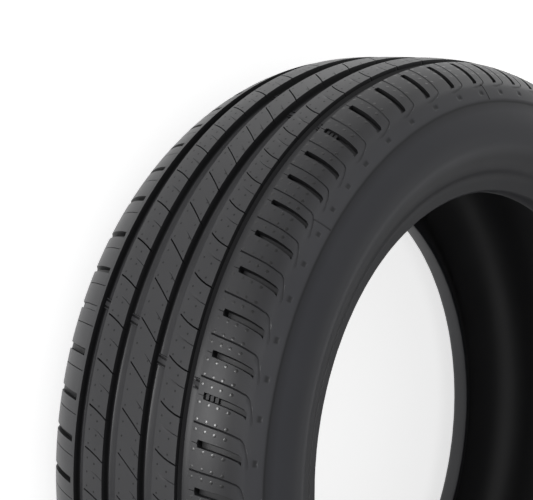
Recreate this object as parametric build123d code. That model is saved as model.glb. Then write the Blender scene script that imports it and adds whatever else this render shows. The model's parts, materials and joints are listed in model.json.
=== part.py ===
from build123d import *
from itertools import accumulate
from math import radians, tan
import os

# Car tyre, moulded in rubber as one hollow ring and shaped as it sits on its rim.
# Millimetres. The axle is Z, the outer sidewall faces +Z, and the origin is the middle of the tyre.

# Driving dimensions
outer_d = 656.8             # over the middle of the tread
section_w = 230.0           # over the sidewalls where they are widest
seat_d = 434.0              # across the bead toes, which grip the rim
heel_span = 190.5           # over the outer faces of the two beads

# Places on the section, as shares of half its width and of its height above the rim seat
shoulder_end = (0.8435, 0.8115)     # where the tread's round shoulder turns into the buttress
buttress_end = (0.935, 0.677)       # where the buttress turns into the sidewall
widest_height = 0.45                # height at which the tyre is widest
flange_lip = (0.90, 0.175)          # where the sidewall meets the rim's flange
liner_shoulder = (0.87, 0.62)       # where the lining turns from the tread to the sidewall
liner_edge = 0.60                   # end of the flat lining under the tread

# Thickness of the rubber
tread_base = 8.0            # under the grooves
side_wall = 8.0             # at the widest place
bead_w = 17.2               # from heel to toe
toe_land = 4.0              # straight part of the rim seat at the toe
seat_taper = 5.0            # degrees, opening from the toe to the heel
heel_bevel = 4.2

# Grooves that run round the tread
tread_depth = 8.0
crown_drop = 2.8            # fall of the tread from its middle rib to the outer grooves
outer_groove_span = 108.0   # between the middles of the two outer grooves
outer_groove_w = 12.2
inner_groove_span = 37.6
inner_groove_w = 14.7
groove_draft = 6.0          # degrees that each wall leans

# Cross slots in the outer shoulder
slot_w = 4.7                # in the shortest pitch; a longer pitch has a wider slot
slot_sink = 3.0             # floor below the straight line from the outer groove to the shoulder's end
slot_gap = 4.6              # rubber left between the outer groove and a slot
slot_rim = 1.0              # rubber left between a slot and the shoulder's end
slot_lean = 16.0            # degrees from the axle's direction
first_slot = -93.9          # degrees round the axle

# Pitches round the tread, of four lengths, in an order that never quite repeats
pitch_order = "DCCDCBAABDDDDCBBAABCCDDDDCCBABCCDDCBAABCCDDDCCBACCDDCBAABCDDDCCD"
pitch_ratio = {"A": 1.0, "B": 1.096, "C": 1.213, "D": 1.33}

# Straight steps that follow the round stretches of the section
shoulder_knee = 0.55        # share of the shoulder's arc at which its two steps meet
wall_steps = 2

outer_r = outer_d / 2
seat_r = seat_d / 2
half_w = section_w / 2
height = outer_r - seat_r
heel_z = heel_span / 2
outer_groove_z = outer_groove_span / 2
inner_groove_z = inner_groove_span / 2


# A place on the section from its two shares, as radius and distance along the axle.
def place(across, up):
    return Vector(seat_r + up * height, across * half_w)


crown_top = Vector(outer_r, inner_groove_z)
crown_edge = Vector(outer_r - crown_drop, outer_groove_z)
shoulder = TangentArc([crown_edge, place(*shoulder_end)], tangent=crown_edge - crown_top)


# From the middle rib over the shoulder, the buttress and the sidewall down to the rim's flange.
def outer_side():
    widest = place(1.0, widest_height)
    upper_wall = TangentArc([widest, place(*buttress_end)], tangent=(1, 0))
    lower_wall = TangentArc([widest, place(*flange_lip)], tangent=(-1, 0))
    points = [crown_top, crown_edge, shoulder @ shoulder_knee, shoulder @ 1]
    points += [upper_wall @ (1 - i / wall_steps) for i in range(wall_steps)]
    points += [lower_wall @ (i / wall_steps) for i in range(wall_steps + 1)]
    return points


# The bead: the heel that the rim's flange holds, the tapered seat and the straight land at the toe.
def bead():
    toe_z = heel_z - bead_w
    taper_z = toe_z + toe_land
    bevel_z = heel_z - heel_bevel
    bevel_r = seat_r + (bevel_z - taper_z) * tan(radians(seat_taper))
    return [
        Vector(bevel_r + heel_bevel, heel_z),
        Vector(bevel_r, bevel_z),
        Vector(seat_r, taper_z),
        Vector(seat_r, toe_z),
    ]


# The lining: from the bead's toe up the inside of the sidewall to the flat underside of the tread.
def lining():
    widest = Vector(seat_r + widest_height * height, half_w - side_wall)
    lining_r = outer_r - tread_depth - tread_base
    return [widest, place(*liner_shoulder), Vector(lining_r, liner_edge * half_w)]


# A groove's section: a flat floor between two leaning walls, open above the tread.
def groove(middle, width, top_r):
    lean = tan(radians(groove_draft))
    floor_r = top_r - tread_depth
    open_r = top_r + tread_depth
    floor_half = width / 2 - tread_depth * lean
    open_half = width / 2 + tread_depth * lean
    corners = [
        (floor_r, middle - floor_half),
        (floor_r, middle + floor_half),
        (open_r, middle + open_half),
        (open_r, middle - open_half),
    ]
    return make_face(Polyline(*corners, close=True))


# The whole section, in the plane of the axle.
def section():
    half = outer_side() + bead() + lining()
    far_half = [Vector(p.X, -p.Y) for p in reversed(half)]
    outline = make_face(Polyline(*half, *far_half, close=True))
    for side in (-1, 1):
        outline -= groove(side * outer_groove_z, outer_groove_w, crown_edge.X)
        outline -= groove(side * inner_groove_z, inner_groove_w, crown_top.X)
    return outline


# The space of one slot at angle 0, open above the tread.
def slot(width):
    start = shoulder @ 0
    end = shoulder @ 1
    fall = (end.X - start.X) / (end.Y - start.Y)
    near_z = outer_groove_z + outer_groove_w / 2 + slot_gap
    far_z = end.Y - slot_rim
    middle_z = (near_z + far_z) / 2
    corners = [
        (start.X + fall * (near_z - start.Y) - slot_sink, near_z - middle_z),
        (start.X + fall * (far_z - start.Y) - slot_sink, far_z - middle_z),
        (outer_r + tread_depth, far_z - middle_z),
        (outer_r + tread_depth, near_z - middle_z),
    ]
    upright = extrude(Plane.XZ * make_face(Polyline(*corners, close=True)), width / 2, both=True)
    return Pos(0, 0, middle_z) * Rot(X=-slot_lean) * upright


# Angles round the tyre at which the pitches start, going clockwise as seen from the outer side.
def pitch_angles():
    lengths = [pitch_ratio[letter] for letter in pitch_order]
    starts = accumulate(lengths[:-1], initial=0)
    return [-360 * start / sum(lengths) for start in starts]


tyre = revolve(Plane.XZ * section(), Axis.Z, 360)
slots = {letter: slot(slot_w * ratio) for letter, ratio in pitch_ratio.items()}
tyre -= [Rot(Z=first_slot + angle) * slots[letter] for letter, angle in zip(pitch_order, pitch_angles())]

os.makedirs("parts", exist_ok=True)
export_step(tyre, "parts/tyre.step")
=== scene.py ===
import json
import math
import bpy
import numpy as np
from mathutils import Matrix, Vector


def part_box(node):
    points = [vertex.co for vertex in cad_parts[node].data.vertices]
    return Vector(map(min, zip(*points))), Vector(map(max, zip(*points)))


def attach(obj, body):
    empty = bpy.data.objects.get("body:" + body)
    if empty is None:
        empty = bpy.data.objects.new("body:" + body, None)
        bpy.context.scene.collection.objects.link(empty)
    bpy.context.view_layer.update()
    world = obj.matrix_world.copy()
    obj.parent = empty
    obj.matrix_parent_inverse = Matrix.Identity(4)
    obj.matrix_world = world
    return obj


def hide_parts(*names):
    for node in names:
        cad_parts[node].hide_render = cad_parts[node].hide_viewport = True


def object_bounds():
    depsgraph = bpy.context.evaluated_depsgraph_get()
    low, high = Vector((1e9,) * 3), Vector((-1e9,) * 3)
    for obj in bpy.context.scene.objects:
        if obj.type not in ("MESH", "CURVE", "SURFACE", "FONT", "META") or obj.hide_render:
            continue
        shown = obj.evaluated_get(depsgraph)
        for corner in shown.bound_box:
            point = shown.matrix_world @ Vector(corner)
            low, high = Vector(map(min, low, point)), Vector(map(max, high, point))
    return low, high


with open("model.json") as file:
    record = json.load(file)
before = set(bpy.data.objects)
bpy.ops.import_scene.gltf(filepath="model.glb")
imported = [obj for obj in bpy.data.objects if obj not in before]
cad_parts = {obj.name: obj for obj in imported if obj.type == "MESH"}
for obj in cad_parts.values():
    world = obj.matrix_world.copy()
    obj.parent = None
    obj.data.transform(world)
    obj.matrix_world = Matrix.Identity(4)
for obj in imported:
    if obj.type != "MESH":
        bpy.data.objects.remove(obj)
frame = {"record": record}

mm = 0.001
cadLow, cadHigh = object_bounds()
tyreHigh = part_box("tyre")[1]
outerRadius = tyreHigh.x / mm
halfWidth = tyreHigh.z / mm
seatRadius = frame["record"]["mounts"][0]["dims"]["r_mm"]
print("frame loaded, outer radius", round(outerRadius, 2), "mm")


# Rows at every stop, with even rows between them no further apart than step
def rowsBetween(stops, step):
    stops = np.asarray(stops, float)
    counts = np.ceil(np.abs(np.diff(stops)) / step - 1e-6)      # a little less keeps a whole count whole
    counts = np.maximum(1, counts).astype(int)
    spans = [np.linspace(p, q, n, endpoint=False) for p, q, n in zip(stops[:-1], stops[1:], counts)]
    return np.append(np.concatenate(spans), stops[-1])


# Cubic curve from p0 to p3 that leaves towards p1 and arrives from p2
def bezier(p0, p1, p2, p3, count):
    t = np.linspace(0, 1, count)[:, None]
    p0, p1, p2, p3 = (np.asarray(p, float) for p in (p0, p1, p2, p3))
    return (1 - t) ** 3 * p0 + 3 * t * (1 - t) ** 2 * p1 + 3 * t * t * (1 - t) * p2 + t ** 3 * p3


# Points at radius r, turn angle phi in degrees and height z: x = -r sin phi, y = -r cos phi
def wrap(r, phi, z):
    turn = np.radians(phi)
    return np.stack(np.broadcast_arrays(-r * np.sin(turn), -r * np.cos(turn), z), -1)


# One mesh object from points in mm and blocks of faces, each block with faces of one size.
# Edges that bend more than crease degrees stay sharp.
def addPiece(name, points, blocks, crease=32, values=None):
    mesh = bpy.data.meshes.new(name)
    corners = np.concatenate([b.ravel() for b in blocks]).astype(np.int32)
    sizes = np.concatenate([np.full(len(b), b.shape[1]) for b in blocks])
    starts = np.append(0, np.cumsum(sizes)[:-1]).astype(np.int32)
    mesh.vertices.add(len(points))
    mesh.vertices.foreach_set("co", (points * mm).astype(np.float32).ravel())
    mesh.loops.add(len(corners))
    mesh.loops.foreach_set("vertex_index", corners)
    mesh.polygons.add(len(sizes))
    mesh.polygons.foreach_set("loop_start", starts)
    mesh.update(calc_edges=True)
    mesh.shade_smooth()
    mesh.set_sharp_from_angle(angle=math.radians(crease))
    for key, numbers in (values or {}).items():
        mesh.attributes.new(key, "FLOAT", "POINT").data.foreach_set("value", numbers.astype(np.float32))
    piece = bpy.data.objects.new(name, mesh)
    bpy.context.scene.collection.objects.link(piece)
    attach(piece, "root")
    print(name, len(points), "points", (sizes - 2).sum(), "triangles")
    return piece


# Section of the tyre: distance z along the axle against radius r, in mm
section = dict(
    crownFall=23.4, crownAt=100.0,      # fall of the tread surface at that distance from its middle
    crownPower=3.6,
    shoulderEnd=97.0,                   # where the crown's curve ends
    shoulderReach=7.0,                  # how far the crown's slope carries on into the buttress
    widest=267.1,                       # radius at which the tyre is widest
    widestReach=13.0,                   # how far the sidewall stays upright above that
    treadEnd=104.8,                     # last row of the tread's grid
    paleRise=(90.0, 98.0),              # painted light: where the shoulders' rubber starts to turn paler, and where it is palest
    sideRise=(92.0, 104.0),             # where the tread's rubber gives way to the sides'
)


# The crown falls with a power of the distance from the middle
def crown(z):
    return outerRadius - section["crownFall"] * (np.abs(z) / section["crownAt"]) ** section["crownPower"]


# Buttress and upper sidewall: one cubic curve from the crown's slope to upright at the widest place
def upperWall(count):
    fall, at, power, end = (section[key] for key in ("crownFall", "crownAt", "crownPower", "shoulderEnd"))
    slope = -fall * power / at * (end / at) ** (power - 1)
    start = np.array([end, crown(end)])
    reach = section["shoulderReach"] * np.array([1, slope])
    stop = np.array([halfWidth, section["widest"]])
    return bezier(start, start + reach, stop + [0, section["widestReach"]], stop, count)


wallLine = upperWall(count=400)


# Radius of the outside at z: the crown in the middle, the buttress's curve beyond the shoulder
def outside(z):
    z = np.abs(z)
    return np.where(z <= section["shoulderEnd"], crown(z), np.interp(z, wallLine[:, 0], wallLine[:, 1]))


# Pitches round the tread, of four lengths; what is cut into a pitch grows with its length
pitch = dict(
    order="DCCDCBAABDDDDCBBAABCCDDDDCCBABCCDDCBAABCCDDDCCBACCDDCBAABCDDDCCD",
    ratio=dict(A=1.0, B=1.096, C=1.213, D=1.33),
    first=3.9,                  # where the first pitch starts, in degrees
    columns=14, side=2,         # columns of the grid in a pitch, on the tread and on the sides
)
pitchRatio = np.array([pitch["ratio"][letter] for letter in pitch["order"]])
pitchLength = pitchRatio * 360 / pitchRatio.sum()
pitchStart = pitch["first"] + np.append(0, np.cumsum(pitchLength)[:-1])
print("pitches", len(pitchStart), "of", np.unique(pitchLength.round(2)), "degrees")

groove = dict(
    middles=(-54.0, -18.8, 18.8, 54.0), widths=(12.2, 14.7, 14.7, 12.2), depth=7.3,
    lean=0.6,                           # of each wall, from its top to its corner at the floor
    leftRound=(2.2, 2.2, 2.2, 3.8), rightRound=(2.2, 2.2, 2.2, 1.0),    # radius of those corners
    leftDark=(1.0, 1.0, 1.0, 0.75), rightDark=1.0,      # painted shade on the walls where the corners start
    lip=3.2, lipDark=0.85,              # a row on the wall, and the painted shade on the wall there
    floorPale=0.3, floorReach=1.0,      # painted light on the floor, and how far up its corners that goes
)
grooveEdges = [(m - w / 2, m + w / 2) for m, w in zip(groove["middles"], groove["widths"])]


# Columns of plain land at shares of the pitch.
# All columns come as share, shift in mm, sink in mm and how much shade is painted on the rubber there.
def land(rows, shares):
    none = np.zeros((len(rows), len(shares)))
    return np.array(shares, float), none, none, none


# A slot across, in shares of its half width and depth: edge, foot of the wall, floor twice, foot, top of the
# far wall, edge
slotShape = dict(
    shift=(-1, -0.9, -0.68, 0.36, 0.56, 0.97, 1),
    sink=(0, 1, 1, 1, 1, 0.12, 0),
    # footDark: painted shade at the foot of the first wall
    footDark=0.6,
)


# Columns of a slot: shade painted on the floor as much as asked for, and heavy painted shade on the far wall
def slotColumns(share, half, depth, dark):
    shift = half[:, None] * np.array(slotShape["shift"])
    sink = depth[:, None] * np.array(slotShape["sink"])
    deep = np.clip(depth, 0, 1)
    none = 0 * deep
    shade = np.stack([none, deep * slotShape["footDark"], deep * dark, deep * dark, deep, deep, none], 1)
    return np.full(len(slotShape["shift"]), share), shift, sink, shade


# Columns of a thin cut: edge, bottom, edge; painted shade on the bottom, full from a depth of full mm on
def sipeColumns(share, half, depth, full=1.5):
    half = np.broadcast_to(half, depth.shape)
    shift = np.stack([-half, 0 * half, half], 1)
    sink = depth[:, None] * np.array([0, 1, 0])
    return np.full(3, share), shift, sink, np.clip(sink / full, 0, 1)


# One zone of the tread: rows at z, each with its turn in degrees, and its parts' columns in every pitch.
# A column's angle is its share of the pitch, plus its shift wrapped round the radius, plus the row's turn.
def zone(z, parts, turn):
    share, *grids = (np.concatenate(p, -1) for p in zip(*parts))
    order = np.argsort(share, kind="stable")
    shift, sink, dark = (np.tile(g[:, order], len(pitchStart)) for g in grids)
    base = (pitchStart[:, None] + share[order] * pitchLength[:, None]).ravel()
    wide = np.repeat(pitchRatio, len(share))
    phi = base + np.degrees(shift * wide / outside(z)[:, None]) + turn[:, None]
    return dict(z=z, phi=phi, sink=sink, dark=dark)


# The columns of a zone move round the tyre, as many as bring them beside the columns of the zone before
def beside(before, part):
    columns = part["phi"].shape[1]
    steps = round(float((part["phi"][0] - before["phi"][-1]).mean()) * columns / 360)
    moved = {key: np.roll(part[key], steps, 1) for key in ("phi", "sink", "dark")}
    moved["phi"][:, :max(steps, 0)] -= 360
    moved["phi"][:, columns + min(steps, 0):] += 360
    return dict(part, **moved)


inner = dict(
    turn=10.8, turnAt=-72.0, lean=-0.039,       # degrees at one place, and degrees per mm along the axle
    # dark: painted shade on the slot's floor
    slot=(-64.3, -103.6), slotWall=0.4, slotHalf=2.0, dark=1.0,
    depth=(5.6, 5.0, 3.4), ramp=(11.6, 3.6),    # the last two depths lie this far from the slot's outer end
    endRow=2.1,                                 # one more row on the way up to that end
    sipe=(-61.6, -98.0), sipeWall=0.3, sipeFade=4.0, sipeHalf=0.24, sipeDepth=1.4, sipeShare=0.6,
    plain=(0.24, 0.43, 0.72, 0.83), rowStep=7.5,
)


# Turn of the inner shoulder's cuts: a straight lean
def innerTurn(z):
    return inner["turn"] + inner["lean"] * (z - inner["turnAt"])


# Inner shoulder: slots that run out over the buttress, with one sipe between them
def innerShoulder():
    start, end = inner["slot"]
    wall = start - inner["slotWall"]
    levelAt, shallowAt = (end + reach for reach in inner["ramp"])
    near, far = inner["sipe"]
    faded = far + inner["sipeFade"]
    edge = grooveEdges[0][0]
    stops = (-section["treadEnd"], end, end + inner["endRow"], far, faded, wall, start, near, edge)
    z = rowsBetween(stops, inner["rowStep"])
    deep, level, shallow = inner["depth"]
    depth = np.interp(z, [end, shallowAt, levelAt, wall, start], [0, shallow, level, deep, 0])
    thin = inner["sipeDepth"] * np.interp(z, [far, faded, near - inner["sipeWall"], near], [0, 1, 1, 0])
    parts = [
        slotColumns(0.0, np.full(len(z), inner["slotHalf"]), depth, inner["dark"]),
        sipeColumns(inner["sipeShare"], inner["sipeHalf"], thin),
        land(z, inner["plain"]),
    ]
    return zone(z, parts, innerTurn(z))


ribCut = dict(
    mainHalf=0.54, mainDepth=3.6, mainWall=0.4, inset=1.6,
    fineHalf=0.26, fineDepth=0.7, fineFull=3.0,     # at its full depth this far from the right groove
    rowStep=6.5,
)
# Turn in degrees at the rib's middle, slope per mm from there and bend per square mm. Main, fine and plain
# are shares of the pitch, and the fine sipe begins at fineStart along the axle.
ribs = [
    dict(turn=9.15, main=0.0, fine=0.57, fineStart=-38, slope=-0.0878, bend=-0.0012,
         plain=(0.1, 0.21, 0.32, 0.44, 0.66, 0.75, 0.84, 0.92)),
    dict(turn=6.39, main=0.35, fine=0.85, fineStart=3, slope=-0.147, bend=-0.0006,
         plain=(0.0, 0.12, 0.23, 0.45, 0.55, 0.65, 0.75, 0.93)),
    dict(turn=1.83, main=0.4, fine=0.0, fineStart=32, slope=-0.0927, bend=0.0022,
         plain=(0.1, 0.2, 0.3, 0.5, 0.6, 0.7, 0.8, 0.9)),
]


# A rib between two grooves: a leaning sipe from near its left edge to the right groove, and a finer one
def buildRib(rib, left, right):
    begin = left + ribCut["inset"]
    full = begin + ribCut["mainWall"]
    z = rowsBetween((left, begin, full, rib["fineStart"], right), ribCut["rowStep"])
    main = ribCut["mainDepth"] * np.interp(z, [begin, full], [0, 1])
    fine = ribCut["fineDepth"] * np.interp(z, [rib["fineStart"], right - ribCut["fineFull"]], [0, 1])
    parts = [
        land(z, rib["plain"]),
        sipeColumns(rib["main"], ribCut["mainHalf"], main),
        sipeColumns(rib["fine"], ribCut["fineHalf"], fine),
    ]
    off = z - (left + right) / 2
    return zone(z, parts, rib["turn"] + rib["slope"] * off + rib["bend"] * off ** 2)


outer = dict(
    slot=(64.8, 96.1), slotWall=0.4, slotHalf=2.2, leadHalf=0.24, leadDepth=1.0,
    lean=-0.038, leanAt=80.0,                           # degrees per mm along the axle
    bend=-0.00145, bendStart=78.0, bendLength=20.0,     # degrees per square mm beyond its start
    depth=(5.6, 4.6, 3.2),      # at the slot's inner end, where its floor levels out, and at its outer end
    dark=(1.0, 0.6, 0.35),      # painted shade on the slot's floor: at the inner end, along the ramp, and where the floor levels out
    ramp=68.0, level=70.6,
    sipe=60.5, sipeWall=0.1, sipeHalf=0.2, sipeDepth=1.2, sipeEnd=0.8, sipeShare=0.418,
    hook=94.0, hookRise=5.5, hookRun=19.0, hookHalf=0.65, hookDepth=0.7, hookRamp=2.0,
    hookTurns=(25, 40, 55, 68, 80),     # degrees round the hook at which it has rows
    plain=(0.24, 0.56, 0.7, 0.84), rowStep=6.0, rowGap=0.3,
)


# Turn of the outer shoulder's cuts: a straight lean, and a bend over the shoulder
def outerTurn(z):
    past = np.clip(z - outer["bendStart"], 0, outer["bendLength"])
    return outer["lean"] * (z - outer["leanAt"]) + outer["bend"] * past ** 2


# The hook is a quarter of an ellipse: its two sides are ellipses a half width inside and outside it
def hookSides(z):
    rise = np.clip(z - outer["hook"], 0, None)
    sides = []
    for half in (-outer["hookHalf"], outer["hookHalf"]):
        share = np.clip(rise / (outer["hookRise"] + half), 0, 1)
        sides.append((outer["hookRun"] + half) * np.sqrt(1 - share ** 2) - outer["hookRun"])
    return sides


# Outer shoulder: slots with a slanted inner end, each behind a thin cut, and sipes that end in a hook
def outerShoulder():
    start, end = outer["slot"]
    wall, farWall = start + outer["slotWall"], end - outer["slotWall"]
    ramp, levelAt = outer["ramp"], outer["level"]
    sipe, hook = outer["sipe"], outer["hook"]
    top = hook + outer["hookRise"]
    last = top + outer["hookHalf"]
    curve = hook + outer["hookRise"] * np.sin(np.radians(outer["hookTurns"]))
    stops = [grooveEdges[-1][1], sipe, start, wall, ramp, levelAt, hook, farWall, end, top, last]
    stops += [row for row in curve if abs(row - end) > outer["rowGap"]]
    z = rowsBetween(np.sort(stops), outer["rowStep"])
    half = np.interp(z, [start, wall], [outer["leadHalf"], outer["slotHalf"]])
    deep, level, shallow = outer["depth"]
    depth = np.interp(z, [start, wall, levelAt, farWall, end], [outer["leadDepth"], deep, level, shallow, 0])
    dark = np.interp(z, [wall, ramp, levelAt], outer["dark"])
    inSide, outSide = hookSides(z)
    bent = (inSide + outSide) / 2
    wide = np.maximum(outer["sipeHalf"], (outSide - inSide) / 2)
    full, hooked = outer["sipeDepth"], outer["hookDepth"]
    thin = np.interp(z, [sipe - outer["sipeWall"], sipe, hook, hook + outer["hookRamp"], top, last],
                     [0, full, full * outer["sipeEnd"], hooked, hooked, 0])
    parts = [
        slotColumns(0.0, half, depth, dark),
        sipeColumns(outer["sipeShare"], wide, thin),
        land(z, outer["plain"]),
    ]
    return zone(z, parts, outerTurn(z) + np.degrees(bent / outside(z)))


buttress = dict(
    start=100.7,
    dimple=(101.4, 102.0, 102.7, 103.4, 104.0),         # its rows
    dimpleShape=(0, 0.8, 1, 0.8, 0),                    # shares of its depth in those rows
    # dimpleDark: painted shade in the dimple
    dimpleHalf=(2.4, 1.5), dimpleDepth=0.9, dimpleDark=0.7,
    plain=(0.14, 0.86, 9),                              # first and last column of plain land, and how many
)


# Outer buttress: plain, with a small oval dimple in line with each slot, shade painted in the dimple
def outerButtress():
    z = np.array((buttress["start"],) + buttress["dimple"] + (section["treadEnd"],))
    dip = np.interp(z, buttress["dimple"], buttress["dimpleShape"])
    far, near = buttress["dimpleHalf"]
    shift = np.tile([-far, -near, 0, near, far], (len(z), 1))
    hollow = dip[:, None] * np.array([0, 1, 1, 1, 0])
    dimple = np.zeros(5), shift, buttress["dimpleDepth"] * hollow, buttress["dimpleDark"] * hollow
    return zone(z, [dimple, land(z, np.linspace(*buttress["plain"]))], outerTurn(z))


# Rows of one side of a groove, down its wall and round its corner: distance from the edge, depth and painted
# shade
def grooveSide(rounding, foot):
    turn = np.radians((0, 45, 90))
    lipAcross = groove["lean"] * groove["lip"] / groove["depth"]
    across = np.append(lipAcross, groove["lean"] + rounding * (1 - np.cos(turn)))
    down = np.append(groove["lip"], groove["depth"] - rounding * (1 - np.sin(turn)))
    return across, down, np.array([groove["lipDark"], foot, 0, 0])


# Rows of a whole groove: half of them have the columns of the zone before it, half those of the zone after
def grooveFloor(number, before, after):
    left, right = grooveEdges[number]
    across, down, dark = grooveSide(groove["leftRound"][number], groove["leftDark"][number])
    yield from ((left + a, d, k, before["phi"][-1]) for a, d, k in zip(across, down, dark))
    across, down, dark = grooveSide(groove["rightRound"][number], groove["rightDark"])
    yield from ((right - a, d, k, after["phi"][0]) for a, d, k in zip(across[::-1], down[::-1], dark[::-1]))


# The tread's grid: zones and grooves in order, each row with its own columns
def treadGrid():
    zones = [innerShoulder()]
    for part in [*(buildRib(rib, grooveEdges[k][1], grooveEdges[k + 1][0]) for k, rib in enumerate(ribs)),
                 outerShoulder(), outerButtress()]:
        zones.append(beside(zones[-1], part))
    rows = []
    for number, part in enumerate(zones):
        rows += zip(part["z"], 0 * part["z"], part["phi"], part["sink"], part["dark"])
        if number < len(grooveEdges):
            for z, deep, dark, phi in grooveFloor(number, part, zones[number + 1]):
                rows.append((z, deep, phi, 0 * phi, 0 * phi + dark))
    z, deep, phi, sink, dark = (np.array(column, float) for column in zip(*rows))
    # painted light: paler groove floors, and shoulders that get paler towards the buttress
    onFloor = deep > groove["depth"] - groove["floorReach"]
    pale = np.where(onFloor, groove["floorPale"], np.interp(np.abs(z), section["paleRise"], [0, 1]))
    return z, phi, (outside(z) - deep)[:, None] - sink, dark, pale


# The low step from the buttress down to the sidewall
wallStep = dict(
    rows=(106.2, 107.0, 107.7),     # its top and its foot, and a row after them
    sink=0.9, fade=272.0,           # depth, and the radius at which it has run out into the sidewall
    footRow=2,                      # number of the foot's row in the casing's outline
    dark=(0.7, 0.45, 0.3, 0.15),    # painted shade at the foot and in the rows after it
)


# Sunk along the outline's normal: the sidewall drops at the step and comes back to the outline further down
def sinkStep(line):
    top, foot = wallStep["rows"][:2]
    along = np.gradient(line, axis=0)
    normal = np.stack([-along[:, 1], along[:, 0]], 1) / np.linalg.norm(along, axis=1)[:, None]
    z, r = line.T
    fade = np.clip((r - wallStep["fade"]) / (outside(foot) - wallStep["fade"]), 0, 1)
    return line - normal * (wallStep["sink"] * np.interp(z, [top, foot], [0, 1]) * fade)[:, None]


# Places in z and radius; a pull is a point that a curve leaves towards or arrives from
casing = dict(
    start=0.8,                              # from the tread's last row to the outline's first
    wall=(108.6, 114.6, 7),                 # first and last row of the upper sidewall, and how many
    wallPull=254.0,                         # a radius, straight below the widest place
    bead=(103.5, 236.5), beadPull=(108.5, 242.0),       # where the sidewall turns into the bead
    ridge=(259.0, 3.0, 0.5),                # radius, width and height of the lower sidewall's soft ridge
    hollow=(250.0, 4.0, 0.7),               # and of the hollow below it
    dark=0.45, darkRise=(248.0, 257.0),     # painted shade near the bead, and the radii over which it gives way
    neckPull=(98.6, 233.2),                 # between the top of the bead and the heel
    heel=(95.25, 222.0), heelPulls=((95.25, 230.0), (95.25, 219.4)),
    bevel=(91.05, 217.8), bevelPull=(93.6, 218.0),
    taper=82.05,                            # where the seat's taper meets the toe's straight land
    toe=((79.45, 0.0), (78.35, 0.0), (78.05, 0.5), (78.45, 2.0)),       # z and height above the seat
)
lining = dict(
    widest=107.0, crown=312.4,              # z where it is widest, and radius under the tread
    toePull=(84.0, 236.0), lowerPull=250.0, upperPull=290.0, crownPull=95.0,
    crownRows=(61.0, 40.0, 14.0),
)


# Half of the casing's outline after the tread: buttress, step, sidewall and bead, then the lining to the
# middle. The sidewall and the lining are cubic curves; ridge and hollow are bell curves on top of them.
def casingOutline():
    first = section["treadEnd"] + casing["start"]
    z = np.concatenate([[first], wallStep["rows"], np.linspace(*casing["wall"])])
    upper = sinkStep(np.stack([z, outside(z)], 1))
    widest = halfWidth, section["widest"]
    lower = bezier(widest, (halfWidth, casing["wallPull"]), casing["beadPull"], casing["bead"], count=15)
    for (middle, width, height), sign in ((casing["ridge"], 1), (casing["hollow"], -1)):
        lower[:, 0] += sign * height * np.exp(-((lower[:, 1] - middle) / width) ** 2)
    before, after = casing["heelPulls"]
    neck = bezier(casing["bead"], casing["neckPull"], before, casing["heel"], count=6)[1:]
    heel = bezier(casing["heel"], after, casing["bevelPull"], casing["bevel"], count=4)[1:]
    toePoints = np.add(casing["toe"], (0, seatRadius))
    seat = np.array([(casing["taper"], seatRadius), toePoints[0]])
    toe = bezier(*toePoints, count=4)[1:]
    radii = lining["lowerPull"], section["widest"], lining["upperPull"]
    below, inWidest, above = ((lining["widest"], r) for r in radii)
    pull, *flat = ((row, lining["crown"]) for row in (lining["crownPull"], *lining["crownRows"]))
    side = bezier(toe[-1], lining["toePull"], below, inWidest, count=8)[1:]
    roof = bezier(inWidest, above, pull, flat[0], count=9)[1:]
    return np.concatenate([upper, lower, neck, heel, seat, toe]), np.concatenate([side, roof, flat[1:]])


# The whole tyre: the tread's grid, and the casing's outline carried round the axle, from one side of the
# tread to the other
def buildTyre():
    z, phi, radius, dark, pale = treadGrid()
    rows, columns = phi.shape
    shell, liner = casingOutline()
    half = np.concatenate([shell, liner])
    line = np.concatenate([half, half[::-1] * [-1, 1]])
    every = pitch["columns"] // pitch["side"]
    blend = np.linspace(0, 1, len(line))[:, None]
    sidePhi = phi[-1, ::every] * (1 - blend) + phi[0, ::every] * blend
    points = np.concatenate([
        wrap(radius, phi, z[:, None]).reshape(-1, 3),
        wrap(line[:, 1:], sidePhi, line[:, :1]).reshape(-1, 3),
    ])
    grid = np.arange(rows * columns).reshape(rows, columns)
    sides = grid.size + np.arange(sidePhi.size).reshape(sidePhi.shape)

    # quads between neighbouring rows and columns, closed round the tyre
    def quads(index):
        on = np.roll(index, -1, 1)
        return np.stack([index[:-1], index[1:], on[1:], on[:-1]], -1).reshape(-1, 4)

    # faces that join the tread's end rows to the coarser rows of the sides, several columns to one
    fan = np.stack([np.roll(grid, -k, 1)[:, ::every] for k in range(every + 1)], -1)
    first, last = sides[0][:, None], sides[-1][:, None]
    outerJoin = np.concatenate([fan[-1][:, :1], first, np.roll(first, -1, 0), fan[-1][:, :0:-1]], 1)
    innerJoin = np.concatenate([last, fan[0], np.roll(last, -1, 0)], 1)

    # one number for each row of the sides, mirrored, after the tread's own numbers
    def along(tread, halfRows):
        return np.concatenate([tread, np.repeat(np.append(halfRows, halfRows[::-1]), sidePhi.shape[1])])

    foot = wallStep["footRow"]
    # painted shade on the sides: a band near the bead and a line at the step's foot, none on the lining
    paintedSideShade = np.interp(half[:, 1], casing["darkRise"], [casing["dark"], 0])
    paintedSideShade[foot:foot + len(wallStep["dark"])] = wallStep["dark"]
    paintedSideShade[len(shell):] = 0
    rowNumber = np.arange(len(half))
    edge = 1.0 * (rowNumber < foot)             # the buttress's painted light ends at the top of the step
    inside = 1.0 * (rowNumber >= len(shell))
    wall = np.interp(np.abs(z), section["sideRise"], [0, 1])
    values = dict(
        cut=along(dark.ravel(), paintedSideShade),
        pale=along(np.repeat(pale, columns), edge),
        side=along(np.repeat(wall, columns), np.ones(len(half))),
        lining=along(np.zeros(grid.size), inside),
    )
    piece = addPiece("tyreBody", points, [quads(grid), quads(sides), outerJoin, innerJoin], values=values)
    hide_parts("tyre")
    return piece


tyreBody = buildTyre()

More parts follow.
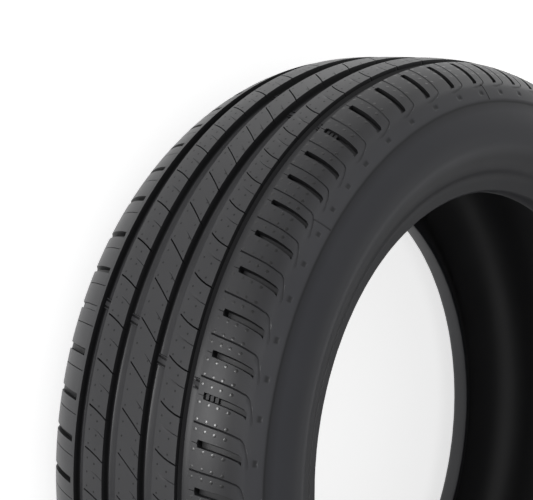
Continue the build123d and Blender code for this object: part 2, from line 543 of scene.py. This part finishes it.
pips = dict(
    rows=(62.0, 70.0, 77.3, 85.0),      # on the outer shoulder, in lines beside each slot and each sipe
    slotGap=-0.95, sipeGaps=(-0.9, 0.45),       # degrees from the slot and from the sipe to those lines
    size=(1.4, 0.22),                   # radius and height
    ribRows=((-43.0, -35.0), (-7.5, 7.5), (31.0, 40.0)), ribShares=(0.12, 0.45, 0.78), ribSize=(0.95, 0.12),
    sides=8, tuck=0.02, root=0.5,       # how far the ring and the lowest point lie below the surface
)


# Shallow round caps on the tread, each closed below the surface: a ring, a top and a bottom
def addCaps(name, z, phi, size):
    wide, high = size
    turn = np.linspace(0, 2 * np.pi, pips["sides"], endpoint=False)
    ringZ = z[:, None] + wide * np.cos(turn)
    ringPhi = phi[:, None] + np.degrees(wide * np.sin(turn) / outside(ringZ))
    rings = wrap(outside(ringZ) - pips["tuck"], ringPhi, ringZ)
    ends = wrap(np.stack([outside(z) + high, outside(z) - pips["root"]], 1), phi[:, None], z[:, None])
    points = np.concatenate([rings, ends], 1)
    ring = np.arange(pips["sides"])
    on = np.roll(ring, -1)
    one = np.concatenate([
        np.stack([on, ring, np.full_like(ring, len(ring))], 1),
        np.stack([ring, on, np.full_like(ring, len(ring) + 1)], 1),
    ])
    faces = (one[None] + np.arange(len(z))[:, None, None] * points.shape[1]).reshape(-1, 3)
    return addPiece(name, points.reshape(-1, 3), [faces], crease=60)


# Pips on the outer shoulder, turned as its cuts are, and on the ribs, in lines as steep as their sipes
def buildPips():
    sipe = pitchStart + outer["sipeShare"] * pitchLength
    lines = np.concatenate([pitchStart + pips["slotGap"], *(sipe + gap for gap in pips["sipeGaps"])])
    z, phi = (g.ravel() for g in np.meshgrid(pips["rows"], lines))
    shoulder = addCaps("shoulderPips", z, phi + outerTurn(z), pips["size"])
    z, phi = [], []
    for number, (rib, rows) in enumerate(zip(ribs, pips["ribRows"])):
        middle = (grooveEdges[number][1] + grooveEdges[number + 1][0]) / 2
        for row in rows:
            for share in pips["ribShares"]:
                base = pitchStart + (share + rib["main"]) * pitchLength
                phi.append(base + rib["slope"] * (row - middle) + rib["turn"])
                z.append(np.full(len(pitchStart), row))
    return shoulder, addCaps("ribPips", np.concatenate(z), np.concatenate(phi), pips["ribSize"])


shoulderPips, ribPips = buildPips()

bars = dict(
    every=8, first=1,                   # pitches that carry wear bars
    turns=(11.35, 9.4, 4.3, 2.05),      # degrees from the pitch's start, one for each groove
    lean=-0.055, chamfer=0.15, inset=0.3, root=1.0,
    half=1.8, high=1.8,
    slit=1.4, slitFloor=0.9, edge=0.5,  # a slit and a narrow bar on both sides of a wear bar
    # slotDark: painted shade on the tops of the outer slot's bars
    slotRows=(66.9, 70.6, 74.4), slotHalf=1.25, slotDrop=2.0, slotEdge=0.5, slotDark=0.5,
    innerRows=(-95.0, -88.0, -81.0, -74.0, -66.0), innerDrop=2.2, innerEdge=0.3,
    seams=8, seamTurn=35.0, seamHalf=0.5, seamHigh=0.45, seamRoot=0.6,
    seamRows=(97.5, 99.0, 100.5, 102.0, 103.5, 105.0, 106.2),
)


# A bar that follows stations along z, closed at both ends: its top is chamfered, shade is painted on its
# sides and bottom, and on its top as much as asked for
def barMesh(z, phi, low, high, half, dark=0.0):
    low, high, phi = (np.broadcast_to(number, z.shape) for number in (low, high, phi))
    soft = bars["chamfer"]
    across = np.array([-half, half, half, half - soft, soft - half, -half])
    up = np.stack([low, low, high - soft, high, high, high - soft], 1)
    corners = wrap(up, phi[:, None] + np.degrees(across / up), z[:, None])
    index = np.arange(up.size).reshape(up.shape)
    on = np.roll(index, -1, 1)
    walls = np.stack([index[:-1], on[:-1], on[1:], index[1:]], -1).reshape(-1, 4)
    ends = np.concatenate([index[:1, ::-1], index[-1:]])
    return corners.reshape(-1, 3), walls, ends, np.tile([1.0, 1.0, 1.0, dark, dark, 1.0], len(z))


# Wear bars across the groove floors, each between two slits with painted shade and two narrow bars
def grooveBars(start):
    for (left, right), turn in zip(grooveEdges, bars["turns"]):
        middle = (left + right) / 2
        z = np.array([left + bars["inset"], right - bars["inset"]])
        phi = start + turn + bars["lean"] * (z - middle)
        floor = outside(middle) - groove["depth"]
        low, high = floor - bars["root"], floor + bars["high"]
        yield barMesh(z, phi, low, high, bars["half"])
        for way in np.degrees((-1 / floor, 1 / floor)):     # degrees per mm to either side
            slit = phi + way * (bars["half"] + bars["slit"] / 2)
            edge = phi + way * (bars["half"] + bars["slit"] + bars["edge"])
            yield barMesh(z, slit, low, floor + bars["slitFloor"], bars["slit"] / 2, dark=1.0)
            yield barMesh(z, edge, low, high, bars["edge"])


# Short bars in the outer slot beside the wear bars, and a raised floor in the inner slot
def slotBars(start, ratio):
    half = outer["slotHalf"] * ratio - bars["slotEdge"]
    for row in bars["slotRows"]:
        z = np.array([row - bars["slotHalf"], row + bars["slotHalf"]])
        low, high = outside(z) - outer["depth"][0] - bars["root"], outside(z) - bars["slotDrop"]
        yield barMesh(z, start + outerTurn(row), low, high, half, bars["slotDark"])
    z = np.array(bars["innerRows"])
    half = inner["slotHalf"] * ratio - bars["innerEdge"]
    low, high = outside(z) - inner["depth"][0] - bars["root"], outside(z) - bars["innerDrop"]
    yield barMesh(z, start + innerTurn(z), low, high, half)


# Seams of the mould across the buttress, evenly round the tyre
def seamBars():
    z = np.array(bars["seamRows"])
    for turn in bars["seamTurn"] + pitch["first"] + 360 / bars["seams"] * np.arange(bars["seams"]):
        yield barMesh(z, turn, outside(z) - bars["seamRoot"], outside(z) + bars["seamHigh"], bars["seamHalf"])


# All bars as one mesh
def buildBars():
    barred = slice(bars["first"], None, bars["every"])
    made = []
    for start, ratio in zip(pitchStart[barred], pitchRatio[barred]):
        made += [*grooveBars(start), *slotBars(start, ratio)]
    made += seamBars()
    points, walls, ends, dark = zip(*made)
    first = np.cumsum([0] + [len(p) for p in points[:-1]])
    blocks = [np.concatenate([f + start for f, start in zip(faces, first)]) for faces in (walls, ends)]
    dark = np.concatenate(dark)
    # painted shade on the bars' sides and in the slits, and the groove floors' painted light on all of them
    values = dict(cut=dark, pale=0 * dark + groove["floorPale"])
    return addPiece("wearBars", np.concatenate(points), blocks, values=values)


wearBars = buildBars()


# A node's output that counts as a number: each operator adds a Math node
class Wire:
    def __init__(self, work, socket):
        self.work = work
        self.socket = socket

    def math(self, operation, first, second):
        return self.work.node("ShaderNodeMath", dict(operation=operation), {0: first, 1: second})

    def __add__(self, other):
        return self.math("ADD", self, other)

    def __sub__(self, other):
        return self.math("SUBTRACT", self, other)

    def __rsub__(self, other):
        return self.math("SUBTRACT", other, self)

    def __mul__(self, other):
        return self.math("MULTIPLY", self, other)

    __radd__ = __add__
    __rmul__ = __mul__


# The nodes of one material or world
class Finish:
    def __init__(self, owner):
        owner.use_nodes = True
        self.owner = owner
        self.tree = owner.node_tree

    # any node: its settings first, then numbers or wires for its sockets, and the output that is wanted
    def node(self, kind, settings=None, inputs=None, out=0):
        made = self.tree.nodes.new(kind)
        for key, value in (settings or {}).items():
            setattr(made, key, value)
        self.feed(made, inputs or {})
        return Wire(self, made.outputs[out])

    def feed(self, made, inputs):
        for key, value in inputs.items():
            if isinstance(value, Wire):
                self.tree.links.new(value.socket, made.inputs[key])
            else:
                made.inputs[key].default_value = value

    # a Mix node's sockets for colours: factor 0, first 6, second 7, result 2
    def mix(self, factor, first, second):
        return self.node("ShaderNodeMix", dict(data_type="RGBA"), {0: factor, 6: first, 7: second}, out=2)


rubberLook = dict(
    tread=(0.024, 0.024, 0.026, 1), treadRough=0.44, treadShine=0.28,
    wall=(0.029, 0.030, 0.036, 1), wallRough=0.44, wallShine=0.5,
    lining=(0.030, 0.030, 0.032, 1),
    deep=(0.003, 0.003, 0.0035, 1), deepRough=0.15,     # painted shade in the cuts, and how much rougher it is there
    # painted light: a paler colour, mixed in on groove floors and over the shoulders
    pale=(0.08, 0.08, 0.084, 1), paleShare=0.3,
    cloud=14.0, cloudDetail=5.0, cloudTone=0.4, cloudRough=0.16,        # soft patches in tone and roughness
    grain=1400.0, grainDetail=3.0, grainStrength=0.22, grainHeight=0.00012,
)


# Dull tread rubber and smoother side rubber, mixed over the shoulders, with painted shade in the cuts and
# painted light on groove floors and shoulders
def rubber(name):
    look = rubberLook
    work = Finish(bpy.data.materials.new(name))
    place = work.node("ShaderNodeTexCoord", out="Object")
    cut, side, lined, pale = (work.node("ShaderNodeAttribute", dict(attribute_name=key), out="Fac")
                              for key in ("cut", "side", "lining", "pale"))
    cloud = work.node("ShaderNodeTexNoise", None, {
        "Vector": place, "Scale": look["cloud"], "Detail": look["cloudDetail"]})
    grain = work.node("ShaderNodeTexNoise", None, {
        "Vector": place, "Scale": look["grain"], "Detail": look["grainDetail"]})
    bump = work.node("ShaderNodeBump", None, {
        "Height": grain, "Strength": look["grainStrength"], "Distance": look["grainHeight"]})
    patch = cloud - 0.5     # to both sides of nought

    def coat(colour, rough, level):
        # painted light mixed into the colour, then painted shade
        colour = work.mix(patch * look["cloudTone"] + pale * look["paleShare"], colour, look["pale"])
        return work.node("ShaderNodeBsdfPrincipled", None, {
            "Base Color": work.mix(cut, colour, look["deep"]),
            "Roughness": rough + patch * look["cloudRough"] + cut * look["deepRough"],
            "Normal": bump,
            "Specular IOR Level": level,
        })

    tread = coat(look["tread"], look["treadRough"], look["treadShine"])
    wall = coat(work.mix(lined, look["wall"], look["lining"]), look["wallRough"], look["wallShine"])
    both = work.node("ShaderNodeMixShader", None, {0: side, 1: tread, 2: wall})
    work.feed(work.tree.nodes["Material Output"], {"Surface": both})
    return work.owner


pipLook = dict(
    colour=(0.005, 0.005, 0.0055, 1), cloud=40.0, cloudDetail=2.0, cloudRough=0.12,
    glossy=(0.22, 0.45), dull=(0.5, 0.2),       # roughness and shine, on the shoulder and on the ribs
)


# Black rubber of the pips, a little uneven in its roughness
def pipRubber(name, rough, shine):
    look = pipLook
    work = Finish(bpy.data.materials.new(name))
    place = work.node("ShaderNodeTexCoord", out="Object")
    cloud = work.node("ShaderNodeTexNoise", None, {
        "Vector": place, "Scale": look["cloud"], "Detail": look["cloudDetail"]})
    work.feed(work.tree.nodes["Principled BSDF"], {
        "Base Color": look["colour"],
        "Roughness": rough + cloud * look["cloudRough"],
        "Specular IOR Level": shine,
    })
    return work.owner


treadRubber = rubber("tyreRubber")
tyreBody.data.materials.append(treadRubber)
wearBars.data.materials.append(treadRubber)
shoulderPips.data.materials.append(pipRubber("glossyPips", *pipLook["glossy"]))
ribPips.data.materials.append(pipRubber("dullPips", *pipLook["dull"]))
print("rubber made")

studio = dict(
    floorSize=12.0, floorColour=(0.86, 0.86, 0.86, 1), floorRough=0.9,
    floorGlow=0.7, mirrorGlow=0.95,     # the floor's own light, for the camera and in what mirrors it
    horizon=0.75, overhead=0.42,        # the world's light
)


# Floor and light: white surroundings at the horizon, dimmer overhead
def buildStudio():
    size, low = studio["floorSize"], cadLow.z
    corners = [(-size, -size, low), (size, -size, low), (size, size, low), (-size, size, low)]
    mesh = bpy.data.meshes.new("floor")
    mesh.from_pydata(corners, [], [(0, 1, 2, 3)])
    floor = bpy.data.objects.new("floor", mesh)
    bpy.context.scene.collection.objects.link(floor)
    work = Finish(bpy.data.materials.new("paleFloor"))
    seen, glossy, through = (work.node("ShaderNodeLightPath", out=ray)
                             for ray in ("Is Camera Ray", "Is Glossy Ray", "Is Transmission Ray"))
    work.feed(work.tree.nodes["Principled BSDF"], {
        "Base Color": studio["floorColour"],
        "Roughness": studio["floorRough"],
        "Emission Strength": 1.0,
        "Emission Color": seen * studio["floorGlow"] + (glossy + through) * studio["mirrorGlow"],
    })
    mesh.materials.append(work.owner)
    world = bpy.data.worlds.new("softWorld")
    bpy.context.scene.world = world
    sky = Finish(world)
    way = sky.node("ShaderNodeTexCoord", out="Generated")
    height = sky.node("ShaderNodeSeparateXYZ", None, {0: way}, out="Z")
    level = studio["horizon"] + height * (studio["overhead"] - studio["horizon"])
    sky.feed(sky.tree.nodes["Background"], {"Color": level, "Strength": 1.0})


buildStudio()

frontLamp = dict(place=(-0.32, -1.85, 0.05), aim=(-0.05, -0.3, 0.03), size=(0.5, 0.2), power=14)


# A soft oval lamp that faces its aim
def addLamp(name, place, aim, size, power):
    light = bpy.data.lights.new(name, "AREA")
    light.shape = "ELLIPSE"
    light.size, light.size_y = size
    light.energy = power
    lamp = bpy.data.objects.new(name, light)
    lamp.location = place
    lamp.rotation_mode = "QUATERNION"
    lamp.rotation_quaternion = (Vector(aim) - Vector(place)).to_track_quat("-Z", "Y")
    bpy.context.scene.collection.objects.link(lamp)


addLamp("frontLamp", **frontLamp)

camera = dict(
    place=(-0.2377, -1.5826, 1.2014), aim=(-0.1637, -0.1782, 0.0), up=(-0.99811, 0, -0.06148),
    lens=156.36, sensor=36,
)


# The camera looks from its place to its aim, with its top towards up
def buildCamera():
    eye = bpy.data.objects.new("camera", bpy.data.cameras.new("camera"))
    back = (Vector(camera["place"]) - Vector(camera["aim"])).normalized()
    right = Vector(camera["up"]).cross(back).normalized()
    turn = Matrix((right, back.cross(right), back)).transposed().to_4x4()
    eye.matrix_world = Matrix.Translation(camera["place"]) @ turn
    eye.data.sensor_width = camera["sensor"]
    eye.data.lens = camera["lens"]
    bpy.context.scene.collection.objects.link(eye)
    bpy.context.scene.camera = eye


buildCamera()
bpy.context.scene.view_settings.view_transform = "Standard"
print("studio, lamp and camera set")
